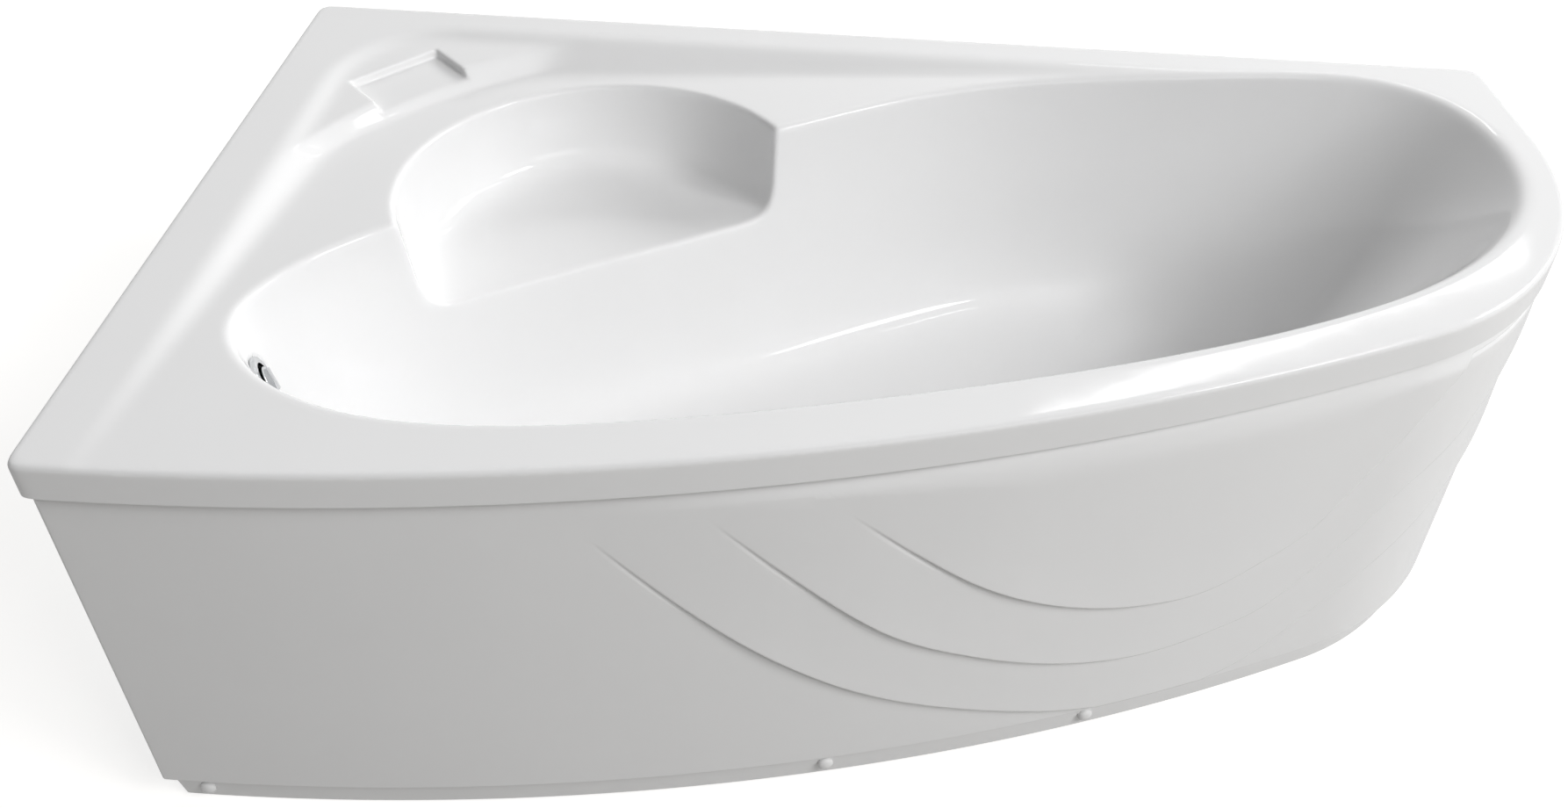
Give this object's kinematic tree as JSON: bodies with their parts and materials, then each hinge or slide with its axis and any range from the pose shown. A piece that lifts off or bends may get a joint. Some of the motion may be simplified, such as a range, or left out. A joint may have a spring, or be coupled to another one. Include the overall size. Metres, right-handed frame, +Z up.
{
  "type": "bathtub",
  "caption": "Offset-corner acrylic bathtub with a curved wrap-round panel, built-in seat, soap shelf, levelling feet, overflow and pop-up waste.",
  "frame": {"origin": "middle of the bounding box on the floor", "axes": "+X along the back wall away from the left wall, +Y towards the back wall, +Z up"},
  "size_m": [1.7, 0.9797, 0.605],
  "materials": {
    "acrylic": "glossy white sanitary acrylic",
    "board": "raw chipboard",
    "timber": "planed softwood",
    "frame_paint": "grey powder coat",
    "zinc_steel": "bright zinc plate",
    "black_plastic": "matte black",
    "white_plastic": "glossy white",
    "chrome": "polished",
    "rubber": "matte",
    "pipe_plastic": "satin white"
  },
  "bodies": {
    "tub": {"base_board": "board", "beam_end": "frame_paint", "beam_left": "frame_paint", "beam_middle": "frame_paint", "block_screws": "zinc_steel", "control_cable": "black_plastic", "drain_flange": "chrome", "drain_seal": "rubber", "foot_lock_nuts": "zinc_steel", "front_panel": "acrylic", "outlet_nut": "pipe_plastic", "outlet_pipe": "pipe_plastic", "overflow_body": "pipe_plastic", "overflow_pipe": "pipe_plastic", "overflow_ring": "chrome", "overflow_seal": "rubber", "panel_bracket_left": "frame_paint", "panel_bracket_middle": "frame_paint", "panel_bracket_right": "frame_paint", "panel_screws": "zinc_steel", "post_back_left": "frame_paint", "post_back_middle": "frame_paint", "post_front_left": "frame_paint", "post_front_middle": "frame_paint", "rail_back": "frame_paint", "rail_diagonal": "frame_paint", "rail_front": "frame_paint", "rim_blocks": "timber", "screw_caps": "white_plastic", "trap_body": "pipe_plastic", "trap_nut": "pipe_plastic", "tub_shell": "acrylic", "tube_plugs": "black_plastic", "wall_bracket_back_1": "frame_paint", "wall_bracket_back_2": "frame_paint", "wall_bracket_left": "frame_paint", "waste_body": "pipe_plastic"},
    "plug": {"drain_plug": "chrome", "plug_seal": "rubber"},
    "knob": {"overflow_knob": "chrome"},
    "foot_1": {"foot_stud_1": "zinc_steel", "foot_pad_1": "black_plastic"},
    "foot_2": {"foot_stud_2": "zinc_steel", "foot_pad_2": "black_plastic"},
    "foot_3": {"foot_stud_3": "zinc_steel", "foot_pad_3": "black_plastic"},
    "foot_4": {"foot_stud_4": "zinc_steel", "foot_pad_4": "black_plastic"},
    "foot_5": {"foot_stud_5": "zinc_steel", "foot_pad_5": "black_plastic"},
    "foot_6": {"foot_stud_6": "zinc_steel", "foot_pad_6": "black_plastic"}
  },
  "joints": [
    {"name": "foot_1_screw", "type": "slide", "parent": "tub", "child": "foot_1", "axis": [0, 0, -1], "range_m": [-0.012, 0.025]},
    {"name": "foot_2_screw", "type": "slide", "parent": "tub", "child": "foot_2", "axis": [0, 0, -1], "range_m": [-0.012, 0.025]},
    {"name": "foot_3_screw", "type": "slide", "parent": "tub", "child": "foot_3", "axis": [0, 0, -1], "range_m": [-0.012, 0.025]},
    {"name": "foot_4_screw", "type": "slide", "parent": "tub", "child": "foot_4", "axis": [0, 0, -1], "range_m": [-0.012, 0.025]},
    {"name": "foot_5_screw", "type": "slide", "parent": "tub", "child": "foot_5", "axis": [0, 0, -1], "range_m": [-0.012, 0.025]},
    {"name": "foot_6_screw", "type": "slide", "parent": "tub", "child": "foot_6", "axis": [0, 0, -1], "range_m": [-0.012, 0.025]},
    {"name": "knob_turn", "type": "hinge", "parent": "tub", "child": "knob", "pos_m": [-0.68173, -0.25586, 0.52772], "axis": [0.8595, 0.4192, 0.2924], "range_deg": [0, 75]},
    {"name": "plug_lift", "type": "slide", "parent": "tub", "child": "plug", "axis": [0, 0, 1], "range_m": [0, 0.009]}
  ],
  "couplings": [
    {"joint": "plug_lift", "follows": "knob_turn", "m_per_rad": 0.006875}
  ]
}
